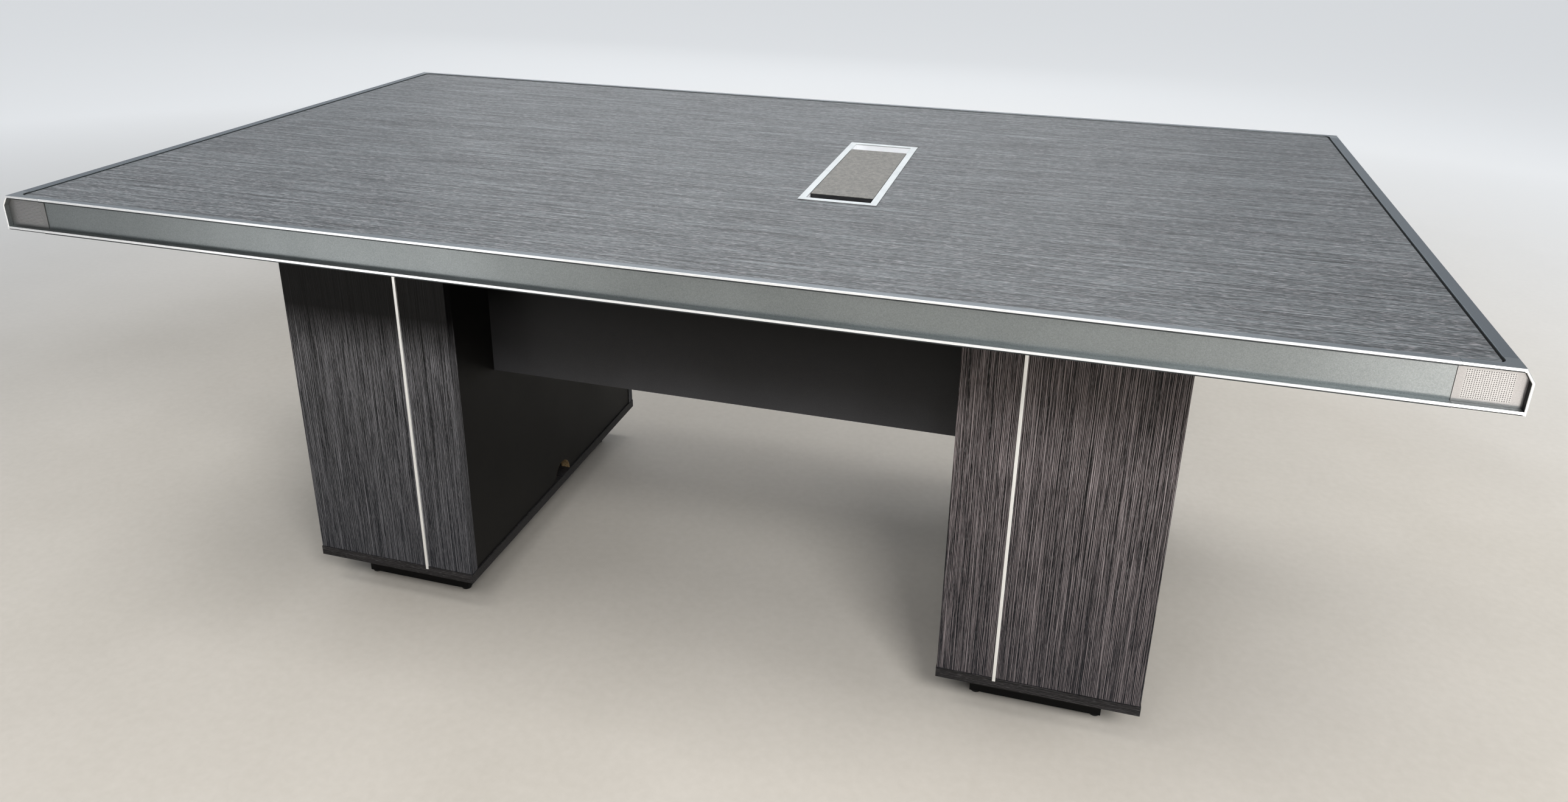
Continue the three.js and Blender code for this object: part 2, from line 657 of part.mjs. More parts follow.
function glide(alongX, alongY) {
  const x = (legInner + legOuter) / 2 + alongX * (LEG_WIDTH / 2 - PLINTH_INSET_SIDE - BOARD / 2);
  const y = alongY * (legFront - PLINTH_INSET_FRONT - BOARD / 2);
  return bar(GLIDE_RADIUS, 'z', [x, y, GLIDE_HEIGHT / 2], GLIDE_HEIGHT);
}

for (const [nameX, sideX] of SIDES_X) {
  const leg = new THREE.Group();
  table.add(leg);
  const upright = [panelFoot, legTop];
  for (const [nameY, sideY] of SIDES_Y) {
    place(`leg_${nameX}_${nameY}_panel`, mirrored(facePanel(), sideX, sideY), 'woodLeg', leg);
    place(`leg_${nameX}_${nameY}_strip`, mirrored(inlayStrip(), sideX, sideY), 'brightAluminium', leg);
    for (const [end, alongX] of [['inner', -1], ['outer', 1]]) {
      const foot = mirrored(glide(alongX, 1), sideX, sideY);
      place(`leg_${nameX}_glide_${nameY}_${end}`, foot, 'blackPlastic', leg);
    }
  }
  place(`leg_${nameX}_inner_panel`, mirrored(innerPanel(), sideX, 1), 'boardDark', leg);
  const outer = block([outerFace - BOARD, outerFace], [-sideReach, sideReach], upright);
  place(`leg_${nameX}_outer_panel`, mirrored(outer, sideX, 1), 'boardDark', leg);
  const topRange = [innerFace + BOARD + SEAT_GAP, outerFace - BOARD - SEAT_GAP];
  const topBoard = block(topRange, [-sideReach, sideReach], [legTop - BOARD, legTop]);
  place(`leg_${nameX}_top_board`, mirrored(topBoard, sideX, 1), 'boardRaw', leg);
  const baseRange = [legInner - BASE_PROUD, legOuter + BASE_PROUD];
  const base = block(baseRange, [-baseFront, baseFront], [baseBottom, baseTop]);
  place(`leg_${nameX}_base_board`, mirrored(base, sideX, 1), 'woodLeg', leg);
  place(`leg_${nameX}_plinth`, mirrored(plinthRing(), sideX, 1), 'plinthBlack', leg);
}

// Cable beam between the legs
const beamRange = [-beamEnd, beamEnd];
const beamLevel = [beamBottom, panelBottom - SEAT_GAP];
for (const [nameY, sideY] of SIDES_Y) {
  const panel = block(beamRange, [beamHalfWidth - BOARD, beamHalfWidth], beamLevel);
  place(`beam_panel_${nameY}`, mirrored(panel, 1, sideY), 'boardDark');
}
const floorReach = beamHalfWidth - BOARD - SEAT_GAP;
place('beam_floor', block(beamRange, [-floorReach, floorReach], [floorTop - BOARD, floorTop]), 'boardDark');

export default table;
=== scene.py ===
# %% [markdown]
# # A conference table, dressed for a studio picture
#
# The table is a dark wood-grain top held in an aluminium edge frame, on two slab legs
# with a hollow beam between them. A power box with a flip-up lid is let into the top.
# The solids are already measured and placed, so this lesson doesn't model the table
# again. It softens the edges a hand or the light would find, punches the grilles,
# mixes a finish for every material, and sets up the camera, the floor and the lamps.

import math

import bpy
from mathutils import Matrix, Vector


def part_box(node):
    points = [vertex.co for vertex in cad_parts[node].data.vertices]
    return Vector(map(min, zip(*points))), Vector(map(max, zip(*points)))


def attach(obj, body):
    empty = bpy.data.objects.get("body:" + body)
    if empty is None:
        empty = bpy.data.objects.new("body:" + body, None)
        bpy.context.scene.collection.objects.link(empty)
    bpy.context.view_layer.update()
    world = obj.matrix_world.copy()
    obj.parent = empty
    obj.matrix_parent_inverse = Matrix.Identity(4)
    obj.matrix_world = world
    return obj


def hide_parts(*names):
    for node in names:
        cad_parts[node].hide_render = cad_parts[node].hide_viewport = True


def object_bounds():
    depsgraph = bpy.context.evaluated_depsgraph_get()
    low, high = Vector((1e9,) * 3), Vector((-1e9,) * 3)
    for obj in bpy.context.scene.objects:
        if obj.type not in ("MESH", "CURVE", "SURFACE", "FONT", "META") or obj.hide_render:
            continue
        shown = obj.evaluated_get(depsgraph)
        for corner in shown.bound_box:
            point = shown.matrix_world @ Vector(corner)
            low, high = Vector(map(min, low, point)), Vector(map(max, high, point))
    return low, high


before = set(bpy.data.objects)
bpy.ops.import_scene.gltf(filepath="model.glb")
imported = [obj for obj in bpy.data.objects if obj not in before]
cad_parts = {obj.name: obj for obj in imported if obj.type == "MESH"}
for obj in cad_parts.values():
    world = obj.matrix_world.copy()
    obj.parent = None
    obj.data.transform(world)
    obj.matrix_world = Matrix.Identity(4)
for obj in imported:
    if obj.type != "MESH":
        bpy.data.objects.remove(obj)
cad_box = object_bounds()
print("box, metres:", [round(v, 3) for corner in cad_box for v in corner])

# %% [markdown]
# ## The camera
#
# The picture was taken by someone standing near the front right corner with a wide
# lens held a little out of level. The place and the three directions below come from
# matching the table's straight edges, so the top, the legs and the power box all land
# where the picture has them. The lens shift stands for the way the picture was
# trimmed: its optical centre isn't the middle of the frame.

# %% Place the camera
IMAGE_WIDTH, IMAGE_HEIGHT = 2576, 1318
FOCAL_PIXELS = 1819.5
OPTICAL_CENTRE = (1274.9, 475.9)
camera_right = Vector((0.96098, 0.27633, 0.01301))
camera_look = Vector((-0.2534, 0.89815, -0.35933))

camera_data = bpy.data.cameras.new("standing_view")
camera_data.sensor_fit = "HORIZONTAL"
camera_data.sensor_width = 36.0
camera_data.lens = 36.0 * FOCAL_PIXELS / IMAGE_WIDTH
camera_data.shift_x = (IMAGE_WIDTH / 2 - OPTICAL_CENTRE[0]) / IMAGE_WIDTH
camera_data.shift_y = (OPTICAL_CENTRE[1] - IMAGE_HEIGHT / 2) / IMAGE_WIDTH
camera = bpy.data.objects.new("standing_view", camera_data)
bpy.context.scene.collection.objects.link(camera)
camera_up = camera_right.cross(camera_look)
turn = Matrix((camera_right, camera_up, -camera_look)).transposed()
camera.matrix_world = Matrix.Translation((0.52983, -1.74827, 1.23168)) @ turn.to_4x4()
bpy.context.scene.camera = camera
print("lens", round(camera_data.lens, 2), "mm, shift", round(camera_data.shift_x, 4),
      round(camera_data.shift_y, 4))

# %% [markdown]
# ## Shader sums written as sums
#
# A finish is a small network of nodes. Wiring sums by hand is slow to read, so `Wire`
# wraps one output socket and turns `+`, `-`, `*`, `/` and comparisons into Math nodes.
# A `Network` makes any other node with its `add` method, which takes the node's type,
# its settings and what goes into its sockets, and hands back a `Wire`. A `Finish` is
# the network of one material; it also knows the patterns that most finishes need.

# %% The socket wrapper
class Wire:
    """One output of a shader node; arithmetic on it adds Math nodes."""

    def __init__(self, network, socket):
        self.network = network
        self.socket = socket

    def math(self, operation, *values, clamp=False):
        settings = {"operation": operation, "use_clamp": clamp}
        return self.network.add("ShaderNodeMath", settings, dict(enumerate(values)))

    def __add__(self, other):
        return self.math("ADD", self, other)

    __radd__ = __add__

    def __sub__(self, other):
        return self.math("SUBTRACT", self, other)

    def __rsub__(self, other):
        return self.math("SUBTRACT", other, self)

    def __mul__(self, other):
        return self.math("MULTIPLY", self, other)

    __rmul__ = __mul__

    def __truediv__(self, other):
        return self.math("DIVIDE", self, other)

    def __rtruediv__(self, other):
        return self.math("DIVIDE", other, self)

    def __gt__(self, other):
        return self.math("GREATER_THAN", self, other)

    def __lt__(self, other):
        return self.math("LESS_THAN", self, other)

    def __abs__(self):
        return self.math("ABSOLUTE", self)

    def power(self, exponent):
        return self.math("POWER", self, exponent)

    def inside(self, low, high):
        """1 from low to high, and 0 elsewhere."""
        return (self > low) * (self < high)

    def between(self, low, high):
        """0 below low, 1 above high, and a straight slope from one to the other."""
        return self.math("DIVIDE", self - low, high - low, clamp=True)


# %% The node network
class Network:
    """A tree of nodes that ends in one shader, which `feed` fills socket by socket."""

    def __init__(self, tree, shader):
        self.tree = tree
        self.shader = tree.nodes[shader]

    def connect(self, socket, value):
        if isinstance(value, Wire):
            self.tree.links.new(value.socket, socket)
        else:
            socket.default_value = value

    def feed(self, **shader_values):
        for name, value in shader_values.items():
            self.connect(self.shader.inputs[name.replace("_", " ")], value)

    def add(self, kind, settings, sockets, every=False):
        """Any node: its settings first, then its sockets; the first output comes back."""
        node = self.tree.nodes.new(kind)
        for name, value in settings.items():
            if name == "stops":
                ramp = node.color_ramp.elements
                while len(ramp) < len(value):
                    ramp.new(0.5)
                for element, (position, colour) in zip(ramp, value):
                    element.position = position
                    element.color = colour
            else:
                setattr(node, name, value)
        for name, value in sockets.items():
            self.connect(node.inputs[name], value)
        outputs = [Wire(self, s) for s in node.outputs if s.enabled]
        return outputs if every else outputs[0]


# %% The material wrapper
def tone(hex_code):
    """A screen colour such as 8f8d87 as the linear colour a shader works with."""
    parts = [int(hex_code[i:i + 2], 16) / 255 for i in (0, 2, 4)]
    linear = [p / 12.92 if p <= 0.04045 else ((p + 0.055) / 1.055) ** 2.4 for p in parts]
    return (*linear, 1.0)


class Finish(Network):
    """One procedural material, with its Principled shader ready to be fed."""

    def __init__(self, name, **shader_values):
        self.material = bpy.data.materials.new(name)
        self.material.use_nodes = True
        super().__init__(self.material.node_tree, "Principled BSDF")
        self.feed(**shader_values)
        self.place = self.add("ShaderNodeTexCoord", {}, {}, every=True)[3]
        split = self.add("ShaderNodeSeparateXYZ", {}, {"Vector": self.place}, every=True)
        self.x, self.y, self.z = split

    def stretched(self, x, y, z):
        """Object coordinates scaled per axis: a small number draws a pattern out."""
        sockets = {0: self.place, 1: (x, y, z)}
        return self.add("ShaderNodeVectorMath", {"operation": "MULTIPLY"}, sockets)

    def noise(self, vector, detail=2.0, roughness=0.5):
        sockets = {"Vector": vector, "Scale": 1.0, "Detail": detail, "Roughness": roughness}
        return self.add("ShaderNodeTexNoise", {"normalize": True}, sockets)

    def mix(self, share, first, second):
        settings = {"data_type": "RGBA"}
        sockets = {"Factor": share, 6: first, 7: second}
        return self.add("ShaderNodeMix", settings, sockets, every=True)[-1]

    def bump(self, height, depth):
        sockets = {"Height": height, "Distance": depth, "Strength": 1.0}
        self.feed(Normal=self.add("ShaderNodeBump", {}, sockets))


print("shader helpers ready")

# %% [markdown]
# ## Wood-grain laminate
#
# The top and the legs carry the same printed film: a dark grey-brown ground with fine
# dark and pale lines that run with the board, and short pale flecks like cut pores. A
# painted picture could be wrapped on, but noise that is squeezed across the grain and
# drawn out along it gives lines of any length with no repeat. Five scales of it lie
# over each other: broad bands, ribbons, fibres about a millimetre wide, dark cuts and
# flecks. The board's own direction is just the order of the three stretch numbers.

# %% Mix the laminate for two grain directions
def shaded(finish, colour, shade):
    """Paint shade on a board: none at the first height, the most at the second."""
    start, end, most, dark = shade
    return finish.mix(finish.z.between(start, end) * most, colour, tone(dark))


LINE_PITCH = 0.0023
EVEN_LINES = (0.40, 0.22, 0.36, 0.02)
SHORT_LINES = (0.60, 0.06, 0.32, 0.02)


def laminate(name, along, ground, roughness, gloss, coarse=1.0, fleck=0.5, shades=(),
             weights=EVEN_LINES, run=1.0):
    """Grain along axis 0 (X) or 2 (Z); ground is dark, middle and pale.

    weights are for fibres, even ribbons, dashes and bands; run stretches the long lines.
    """
    finish = Finish(name, IOR=1.5, Specular_IOR_Level=gloss)

    def grain(length, width):
        stretch = [1 / (width * coarse)] * 3
        stretch[along] = 1 / length
        return finish.noise(finish.stretched(*stretch), 1.0)

    bands = grain(1.6, 0.030)
    axes = [finish.x, finish.y, finish.z]
    axes.pop(along)
    turns = (axes[0] + axes[1]) * (2 * math.pi / (LINE_PITCH * coarse)) + grain(0.25, 0.006) * 16
    ribbons = turns.math("SINE", turns) * 0.5 + 0.5
    fibres = grain(0.45 * run, 0.00078)
    dashes = grain(0.034 * run, 0.00085)
    cuts = grain(0.30 * run, 0.00070).between(0.57, 0.65)
    flecks = grain(0.009, 0.00066).between(0.56, 0.68)
    parts = zip((fibres, ribbons, dashes, bands), weights)
    streak = sum(part * weight for part, weight in parts).between(0.38, 0.62)
    dark, middle, pale = (tone(code) for code in ground)
    stops = [(0.05, dark), (0.5, middle), (0.95, pale)]
    colour = finish.add("ShaderNodeValToRGB", {"stops": stops}, {"Fac": streak})
    colour = finish.mix(flecks * fleck, colour, tone("a8a5a7"))
    colour = finish.mix(cuts * 0.85, colour, tone("09090a"))
    for shade in shades:
        colour = shaded(finish, colour, shade)
    finish.feed(Base_Color=colour, Roughness=roughness + 0.10 * (0.5 - streak) + 0.08 * cuts)
    finish.bump(streak - cuts * 0.8, 0.00008)
    return finish.material


top_laminate = laminate("top_laminate", 0, ("111314", "313436", "676d6f"), 0.40, 0.5, 1.5,
                        weights=SHORT_LINES, run=0.3)
# Painted light: the legs get lit and shaded copies of one film, the right leg's tones lighter and warmer than
# the left leg's.
shaded_left_tones, lit_right_tones = ("0b0b0c", "2a2a2d", "828185"), ("0e0d0d", "322d2e", "968c8d")
# Painted shade: each leg darkens under the top, the left one more, and towards the foot, in a cool dark blue.
painted_foot_shade = (0.46, 0.08, 0.38, "0a1522")
left_shades = [(0.480, 0.552, 0.97, "050505"), painted_foot_shade]
right_shades = [(0.575, 0.670, 0.70, "050505"), painted_foot_shade]
leg_laminates = {
    "left": laminate("left_leg_laminate", 2, shaded_left_tones, 0.52, 0.15, 0.9, 0.25, left_shades),
    "right": laminate("right_leg_laminate", 2, lit_right_tones, 0.52, 0.15, 0.9, 0.25, right_shades),
}
base_laminate = laminate("base_laminate", 0, ("0d0d0e", "1a191b", "323032"), 0.55, 0.25, 1.0, 0.12)
print("laminates:", top_laminate.name, base_laminate.name, *leg_laminates)

# %% [markdown]
# ## Plain dark boards and raw core
#
# The beam, the inner sides of the legs and the plinths are plain dark board. Plain
# board is never one flat tone: the film has a fine pebble, and hands and dust leave
# it slightly cloudy. Where a hole is cut through a board its chipboard core shows, so
# the dark board turns to pressed chips within a hair's breadth of the notch's curve.

# %% Mix the dark boards
NOTCH_CENTRE_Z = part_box("leg_left_inner_panel")[0].z
NOTCH_RADIUS = 0.030


def chipboard(finish):
    chips = finish.add(
        "ShaderNodeTexVoronoi", {"feature": "F1"},
        {"Vector": finish.place, "Scale": 420.0, "Randomness": 1.0}, every=True)
    fibres = finish.noise(finish.stretched(700, 700, 700), 4.0)
    share = chips[0].between(0.0, 0.9) * 0.6 + fibres * 0.4
    stops = [(0.2, tone("6d5338")), (0.5, tone("a58a63")), (0.8, tone("cdb68d"))]
    return finish.add("ShaderNodeValToRGB", {"stops": stops}, {"Fac": share})


def dark_board(name, low, high, roughness, notched=False, shade=None):
    finish = Finish(name, Specular_IOR_Level=0.16)
    cloud = finish.noise(finish.stretched(5, 5, 5), 3.0)
    pebble = finish.noise(finish.stretched(900, 900, 900), 2.0)
    share = (cloud * 0.6 + pebble * 0.4).between(0.3, 0.7)
    colour = finish.mix(share, tone(low), tone(high))
    if notched:
        rise = finish.z - NOTCH_CENTRE_Z
        radius = (finish.y * finish.y + rise * rise).power(0.5)
        cut_edge = radius < NOTCH_RADIUS + 0.0004
        colour = finish.mix(cut_edge * 0.6, colour, chipboard(finish))
    if shade:
        colour = shaded(finish, colour, shade)
    finish.feed(Base_Color=colour, Roughness=roughness + 0.12 * (share - 0.5))
    finish.bump(pebble, 0.00008)
    return finish.material


# Painted shade: the inner sides of the legs take a darker copy of the board than the outer sides, and they and
# the beam are painted darker towards the top.
inner_board = dark_board("inner_board", "090807", "100f0e", 0.5, True, (0.45, 0.60, 0.70, "050505"))
outer_board = dark_board("outer_board", "181716", "252422", 0.5)
beam_board = dark_board("beam_board", "353537", "4a4a4d", 0.45, shade=(0.41, 0.56, 0.95, "050505"))
plinth_board = dark_board("plinth_board", "0b0b0c", "161617", 0.6)
raw_core = Finish("raw_core", Roughness=0.85)
raw_core.feed(Base_Color=chipboard(raw_core))
raw_core.bump(raw_core.noise(raw_core.stretched(500, 500, 500), 3.0), 0.0003)
print("boards mixed: inner, outer, beam, plinth, raw core")

# %% [markdown]
# ## Metals
#
# The edge frame is aluminium that was blasted with fine grit and anodised, so it is
# grey, satin and slightly speckled, with no lines in it. A band on each lip nose is
# painted almost white as a painted highlight, with a painted shadow line under it; the
# bands are found by their place, as they lie furthest out. The flat top faces are
# painted darker than the web and the hollow side of the right-hand end walls is painted
# black, both as painted shade. The inlay strips and the power box frame are bright too.
# A drawn strip keeps faint pull marks, which are noise stretched along its length.

# %% Mix the blasted metal of the edge frame
NOSE_PLANE = 0.5492
UPPER_BEAD = (0.7571, 0.7601)
LOWER_BEAD = (0.7087, 0.7122)
END_WALL = 0.9966
END_SLOPE = (0.832, 0.5547, 1.2416)
STRIP_PLANE = cad_box[1].z - 0.0004


def blasted(name, web, strip, roughness):
    """Satin metal: web is the upright tone, strip the darker tone painted on the flat top faces as painted
    shade.
    """
    finish = Finish(name)
    grit = finish.noise(finish.stretched(1500, 1500, 1500), 2.0)
    specks = finish.noise(finish.stretched(800, 800, 800), 2.0)
    cloud = finish.noise(finish.stretched(9, 9, 9), 3.0)
    share = (grit * 0.4 + specks * 0.4 + cloud * 0.2).between(0.30, 0.70)
    # Painted shade: the flat top faces take the darker strip tone, though the metal is the same as the web's.
    on_top = finish.z > STRIP_PLANE
    darker = finish.mix(on_top, tone(web[0]), tone(strip[0]))
    lighter = finish.mix(on_top, tone(web[1]), tone(strip[1]))
    colour = finish.mix(share, darker, lighter)
    # Painted highlight: the bead bands of the lip noses and the end-wall noses are painted almost white; the
    # rest of each nose is painted dark, a painted shadow line under the bead.
    nose = abs(finish.y) > NOSE_PLANE
    bead = finish.z.inside(*UPPER_BEAD) + finish.z.inside(*LOWER_BEAD)
    reach = abs(finish.x) * END_SLOPE[0] + finish.z * END_SLOPE[1]
    end_wall = (abs(finish.x) > END_WALL) + (reach > END_SLOPE[2])
    painted_highlight = nose * (bead + end_wall).between(0.0, 1.0)
    colour = finish.mix(nose, colour, tone("45484a"))
    # Painted shade: the inner face of the right-hand end walls is painted near black.
    hollow = abs(finish.y).inside(0.5414, NOSE_PLANE) * (finish.x > 0) * (1 - on_top)
    colour = finish.mix((hollow * end_wall).between(0.0, 1.0), colour, tone("161719"))
    finish.feed(Base_Color=finish.mix(painted_highlight, colour, tone("f6f7f7")))
    finish.feed(Metallic=1.0 - 0.45 * painted_highlight)
    finish.feed(Roughness=roughness + 0.12 * (grit - 0.5) - (roughness - 0.25) * painted_highlight)
    finish.bump(grit * (1.0 - painted_highlight), 0.00003)
    return finish.material


channel_metal = blasted("channel_metal", ("7a7f7f", "a0a5a6"), ("72777a", "858a8d"), 0.40)
end_metal = blasted("end_metal", ("7f878a", "939b9d"), ("62686d", "757b80"), 0.46)
print("blasted metals:", channel_metal.name, end_metal.name)

# %% Mix the drawn and stamped metals
def drawn(name, along, low, high, roughness, metallic):
    finish = Finish(name, Metallic=metallic)
    stretch = [1600, 1600, 1600]
    stretch[along] = 9
    lines = finish.noise(finish.stretched(*stretch), 2.0)
    cloud = finish.noise(finish.stretched(3, 3, 3), 2.0)
    share = (lines * 0.6 + cloud * 0.4).between(0.3, 0.7)
    finish.feed(Base_Color=finish.mix(share, tone(low), tone(high)))
    finish.feed(Roughness=roughness + 0.12 * (lines - 0.5))
    finish.bump(lines, 0.00002)
    return finish.material


strip_metal = drawn("strip_metal", 2, "f0f0ee", "fafaf8", 0.3, 0.5)
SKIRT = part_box("power_frame")[1].z - 0.0016


def bezel_metal():
    """Drawn metal on the flat rails, bright paint on the skirt that hangs inside."""
    finish = Finish("bezel_metal")
    lines = finish.noise(finish.stretched(1600, 9, 1600), 2.0)
    cloud = finish.noise(finish.stretched(40, 40, 40), 3.0)
    share = (lines * 0.5 + cloud * 0.5).between(0.3, 0.7)
    skirt = finish.z < SKIRT
    rails = finish.mix(share, tone("bcc0c1"), tone("d2d6d6"))
    finish.feed(Base_Color=finish.mix(skirt, rails, finish.mix(share, tone("f3f6fa"), tone("fcfdff"))))
    finish.feed(Metallic=0.5 * (1 - skirt), Roughness=0.36 + 0.12 * (lines - 0.5))
    finish.bump(lines, 0.00002)
    return finish.material


power_metal = bezel_metal()
pin_metal = drawn("pin_metal", 1, "9aa0a6", "b4b9be", 0.28, 1.0)
print("drawn metals:", strip_metal.name, power_metal.name, pin_metal.name)

# %% [markdown]
# ## Lid coat, rubber and plastics
#
# The lid has a speckled taupe coat on a black core: the coat is only the top skin, so
# below that the edge is black. The height above the floor tells the two apart, and
# because the height is measured in the lid's own rest position the line stays put
# when the lid opens.

# %% Mix the coats and plastics
LID_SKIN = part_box("power_lid")[1].z - 0.0007
WELL_RADIUS, WELL_DEPTH = 0.0185, 0.0090
# Painted shade: the socket plastic is painted near black below this height, inside the pin holes.
PIN_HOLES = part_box("mains_socket_front")[1].z - WELL_DEPTH - 0.0003


def lid_coat():
    finish = Finish("lid_coat", IOR=1.48)
    speckle = finish.noise(finish.stretched(1300, 1300, 1300), 2.0)
    mottle = finish.noise(finish.stretched(420, 420, 420), 2.0)
    patches = finish.noise(finish.stretched(130, 130, 130), 3.0)
    share = (speckle * 0.35 + mottle * 0.3 + patches * 0.35).between(0.38, 0.62)
    coat = finish.mix(share, tone("4c4a46"), tone("7d7a73"))
    skin = finish.z > LID_SKIN
    finish.feed(Base_Color=finish.mix(skin, tone("0c0c0d"), coat))
    finish.feed(Roughness=0.5 + 0.2 * (speckle - 0.5))
    finish.bump(speckle, 0.0001)
    return finish.material


def moulded(name, low, high, roughness, grain=1100, gloss=0.5, holes=0.0):
    """Pebbled plastic; below the height `holes` it is painted near black, a painted shade for the inside of
    the pin holes.
    """
    finish = Finish(name, IOR=1.5, Specular_IOR_Level=gloss)
    pebble = finish.noise(finish.stretched(grain, grain, grain), 2.0)
    cloud = finish.noise(finish.stretched(14, 14, 14), 2.0)
    share = (pebble * 0.5 + cloud * 0.5).between(0.3, 0.7)
    colour = finish.mix(share, tone(low), tone(high))
    finish.feed(Base_Color=finish.mix(finish.z < holes, colour, tone("0a0a0a")) if holes else colour)
    finish.feed(Roughness=roughness + 0.14 * (pebble - 0.5))
    finish.bump(pebble, 0.00005)
    return finish.material


coated_lid = lid_coat()
gasket_rubber = moulded("gasket_rubber", "050506", "0c0c0d", 0.75, gloss=0.1)
black_plastic = moulded("black_plastic", "0e0e10", "1b1b1d", 0.45)
white_plastic = moulded("white_plastic", "d2d2cf", "e4e4e1", 0.36)
socket_plastic = moulded("socket_plastic", "d2d2cf", "e4e4e1", 0.36, holes=PIN_HOLES)
tray_paint = moulded("tray_paint", "f2f5f9", "fbfcfe", 0.42, grain=700)
print("coats mixed: lid, gasket, tray paint, black and white plastic")

# %% [markdown]
# ## Softened edges
#
# Real boards and extrusions never end in a perfect knife edge, and the thin line of
# light on a softened edge is what makes them read as solid. The measured solids come
# as loose triangles, so each is copied, its shared points are merged and its flat
# faces joined; only then can a Bevel modifier find the true edges. Smooth shading
# would let the narrow bevels bend the light on the broad faces beside them, so a
# Weighted Normal modifier gives those faces the last word. The copy stands in for the
# measured solid, which stays hidden underneath for the physics.

# %% Copy, merge and soften
def clear_selection():
    if bpy.context.object and bpy.context.object.mode != "OBJECT":
        bpy.ops.object.mode_set(mode="OBJECT")
    bpy.ops.object.select_all(action="DESELECT")


def make_active(piece):
    clear_selection()
    piece.select_set(True)
    bpy.context.view_layer.objects.active = piece


def clean_copy(node):
    piece = bpy.data.objects.new(f"{node}_finished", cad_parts[node].data.copy())
    bpy.context.scene.collection.objects.link(piece)
    make_active(piece)
    bpy.ops.mesh.customdata_custom_splitnormals_clear()
    bpy.ops.object.mode_set(mode="EDIT")
    bpy.ops.mesh.select_all(action="SELECT")
    bpy.ops.mesh.remove_doubles(threshold=1e-6)
    bpy.ops.mesh.dissolve_limited(angle_limit=math.radians(0.5))
    bpy.ops.object.mode_set(mode="OBJECT")
    return piece


def pick(piece, kind, test, spare=lambda corner: False):
    """Go into edit mode with the corners, edges or faces that pass and aren't spared."""
    make_active(piece)
    bpy.ops.object.mode_set(mode="EDIT")
    bpy.ops.mesh.select_mode(type=kind)
    bpy.ops.mesh.select_all(action="DESELECT")
    bpy.ops.object.mode_set(mode="OBJECT")
    mesh = piece.data
    parts = {"VERT": mesh.vertices, "EDGE": mesh.edges, "FACE": mesh.polygons}[kind]
    for part in parts:
        numbers = [part.index] if kind == "VERT" else part.vertices
        corners = [mesh.vertices[i].co for i in numbers]
        part.select = all(map(test, corners)) and not all(map(spare, corners))
    bpy.ops.object.mode_set(mode="EDIT")


def soften(piece, width, segments=2):
    make_active(piece)
    bpy.ops.object.modifier_add(type="BEVEL")
    bevel = piece.modifiers[-1]
    bevel.width = width
    bevel.segments = segments
    bevel.limit_method = "ANGLE"
    bevel.angle_limit = math.radians(30)
    bpy.ops.object.modifier_apply(modifier=bevel.name)
    bpy.ops.object.shade_smooth_by_angle(angle=math.radians(40))
    bpy.ops.object.modifier_add(type="WEIGHTED_NORMAL")
    weighted = piece.modifiers[-1]
    weighted.weight = 100
    weighted.keep_sharp = True
    bpy.ops.object.modifier_apply(modifier=weighted.name)


def stand_in(piece, node, material, body="table"):
    piece.data.materials.clear()
    piece.data.materials.append(material)
    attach(piece, body)
    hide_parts(node)


print("edge tools ready")

# %% [markdown]
# ## Boards
#
# Every board gets the same treatment, with half a millimetre off its edges, about
# what an edge-banding machine leaves. The list pairs each board with its finish, so
# a front panel has upright grain and a base board has grain that lies down.

# %% Soften and dress the boards
boards = {"top_panel": top_laminate, "beam_floor": beam_board}
for side in ("left", "right"):
    boards[f"leg_{side}_inner_panel"] = inner_board
    boards[f"leg_{side}_outer_panel"] = outer_board
    boards[f"leg_{side}_base_board"] = base_laminate
    boards[f"leg_{side}_plinth"] = plinth_board
    boards[f"leg_{side}_top_board"] = raw_core.material
    boards[f"leg_batten_{side}"] = raw_core.material
    boards[f"batten_{side}"] = raw_core.material
for face in ("front", "back"):
    boards[f"beam_panel_{face}"] = beam_board
    boards[f"batten_{face}"] = raw_core.material
    for side in ("left", "right"):
        boards[f"leg_{side}_{face}_panel"] = leg_laminates[side]
for node, material in boards.items():
    board = clean_copy(node)
    soften(board, 0.0005)
    stand_in(board, node, material)
print("boards dressed:", len(boards))

# %% [markdown]
# ## The edge frame
#
# The channel along each long side ends in two rounded lips. They are bright because a
# round nose always has some line on it that mirrors the ceiling, and because a band on
# each nose is painted white as a painted highlight. The lip edges are the ones that lie
# in the outermost plane, so they are picked by their place and bevelled wide, apart
# from the ends that meet at a seam; everything else only gets a hair off. A fine line
# is also cut along the lower lip, just behind its nose.

# %% Round the lips of the channels and corner castings
LIP_ROUND = 0.0014
LIP_PLANE = cad_box[1].y - 1e-5
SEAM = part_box("edge_channel_front")[1].x
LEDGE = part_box("edge_channel_front")[0].z + 0.0048
GROOVE = (0.5470, 0.5477)
GROOVE_DEPTH = 0.0006


def on_ledge(corner):
    return abs(corner.z - LEDGE) < 1e-5


def groove_ledge(profile):
    """Cut the fine drainage line that runs along the lower lip, just behind its nose."""
    side = 1 if profile.data.vertices[0].co.y > 0 else -1
    for line in GROOVE:
        pick(profile, "FACE", on_ledge)
        bpy.ops.mesh.bisect(plane_co=(0, side * line, 0), plane_no=(0, 1, 0))
    pick(profile, "FACE", lambda corner: on_ledge(corner)
         and GROOVE[0] - 1e-5 < abs(corner.y) < GROOVE[1] + 1e-5)
    bpy.ops.mesh.extrude_region_move(TRANSFORM_OT_translate={"value": (0, 0, -GROOVE_DEPTH)})
    bpy.ops.object.mode_set(mode="OBJECT")


